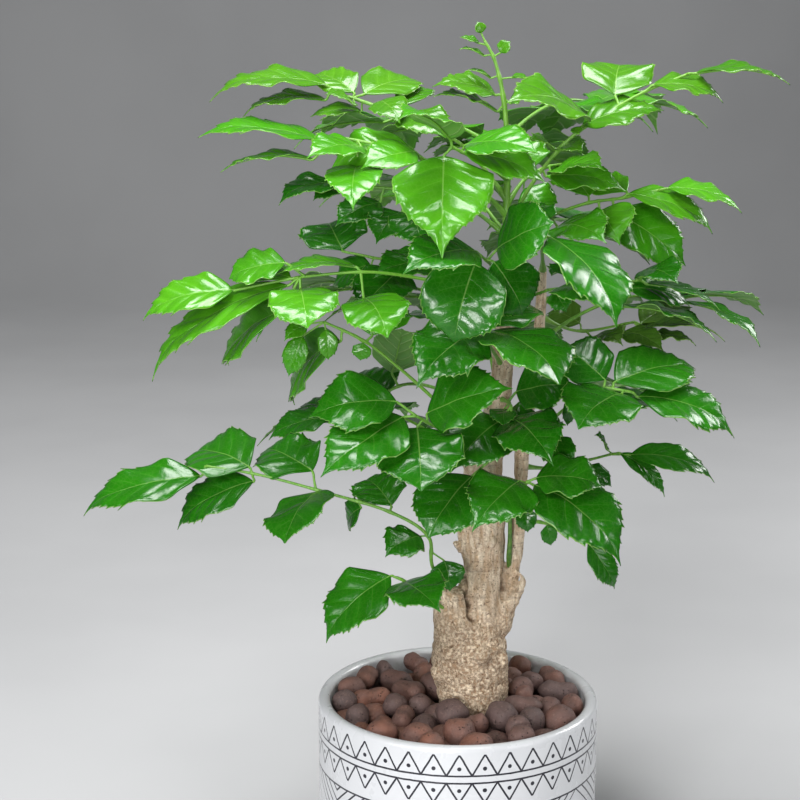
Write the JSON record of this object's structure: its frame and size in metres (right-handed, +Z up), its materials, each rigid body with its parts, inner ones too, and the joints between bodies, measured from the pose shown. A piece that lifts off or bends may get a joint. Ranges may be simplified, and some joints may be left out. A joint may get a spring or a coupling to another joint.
{
  "type": "potted china doll plant",
  "caption": "Upright china doll plant with a woody trunk and glossy toothed compound leaves, in a straight round glazed pot topped with clay pebbles.",
  "frame": {"origin": "centre of the pot's flat base", "axes": "+Z up along the pot's axis, -Y towards the viewer of the picture, +X to the viewer's right"},
  "size_m": [0.3675, 0.3018, 0.4859],
  "materials": {
    "white_glaze": "satin",
    "potting_mix": "matte",
    "clay": "matte",
    "bark": "matte",
    "leaf_young": "satin",
    "leaf_bright": "satin",
    "leaf_deep": "satin",
    "leaf_olive": "satin"
  },
  "bodies": {
    "root": {"clay_pebbles": "clay", "frond_back_1": "leaf_deep", "frond_back_10": "leaf_bright", "frond_back_2": "leaf_deep", "frond_back_3": "leaf_deep", "frond_back_4": "leaf_deep", "frond_back_5": "leaf_deep", "frond_back_6": "leaf_bright", "frond_back_7": "leaf_bright", "frond_back_8": "leaf_deep", "frond_back_9": "leaf_bright", "frond_centre_dark": "leaf_deep", "frond_centre_right": "leaf_deep", "frond_hero_centre": "leaf_deep", "frond_hero_low_right": "leaf_deep", "frond_hero_middle": "leaf_deep", "frond_hero_right": "leaf_deep", "frond_hero_top": "leaf_bright", "frond_inner_centre": "leaf_deep", "frond_left_dark": "leaf_deep", "frond_left_fourth": "leaf_deep", "frond_left_inner": "leaf_deep", "frond_left_long": "leaf_bright", "frond_left_small": "leaf_bright", "frond_low_centre": "leaf_deep", "frond_low_left_long": "leaf_deep", "frond_lowest_left": "leaf_deep", "frond_right_arm": "leaf_bright", "frond_right_back": "leaf_olive", "frond_right_inner": "leaf_deep", "frond_right_low_back": "leaf_deep", "frond_right_low_inner": "leaf_deep", "frond_right_middle": "leaf_deep", "frond_right_top_back": "leaf_bright", "frond_right_upper": "leaf_deep", "frond_top_left": "leaf_young", "frond_top_right": "leaf_young", "frond_upper_left": "leaf_bright", "leafy_shoot": "leaf_young", "pot": "white_glaze", "potting_mix": "potting_mix", "trunk": "bark"}
  },
  "joints": []
}
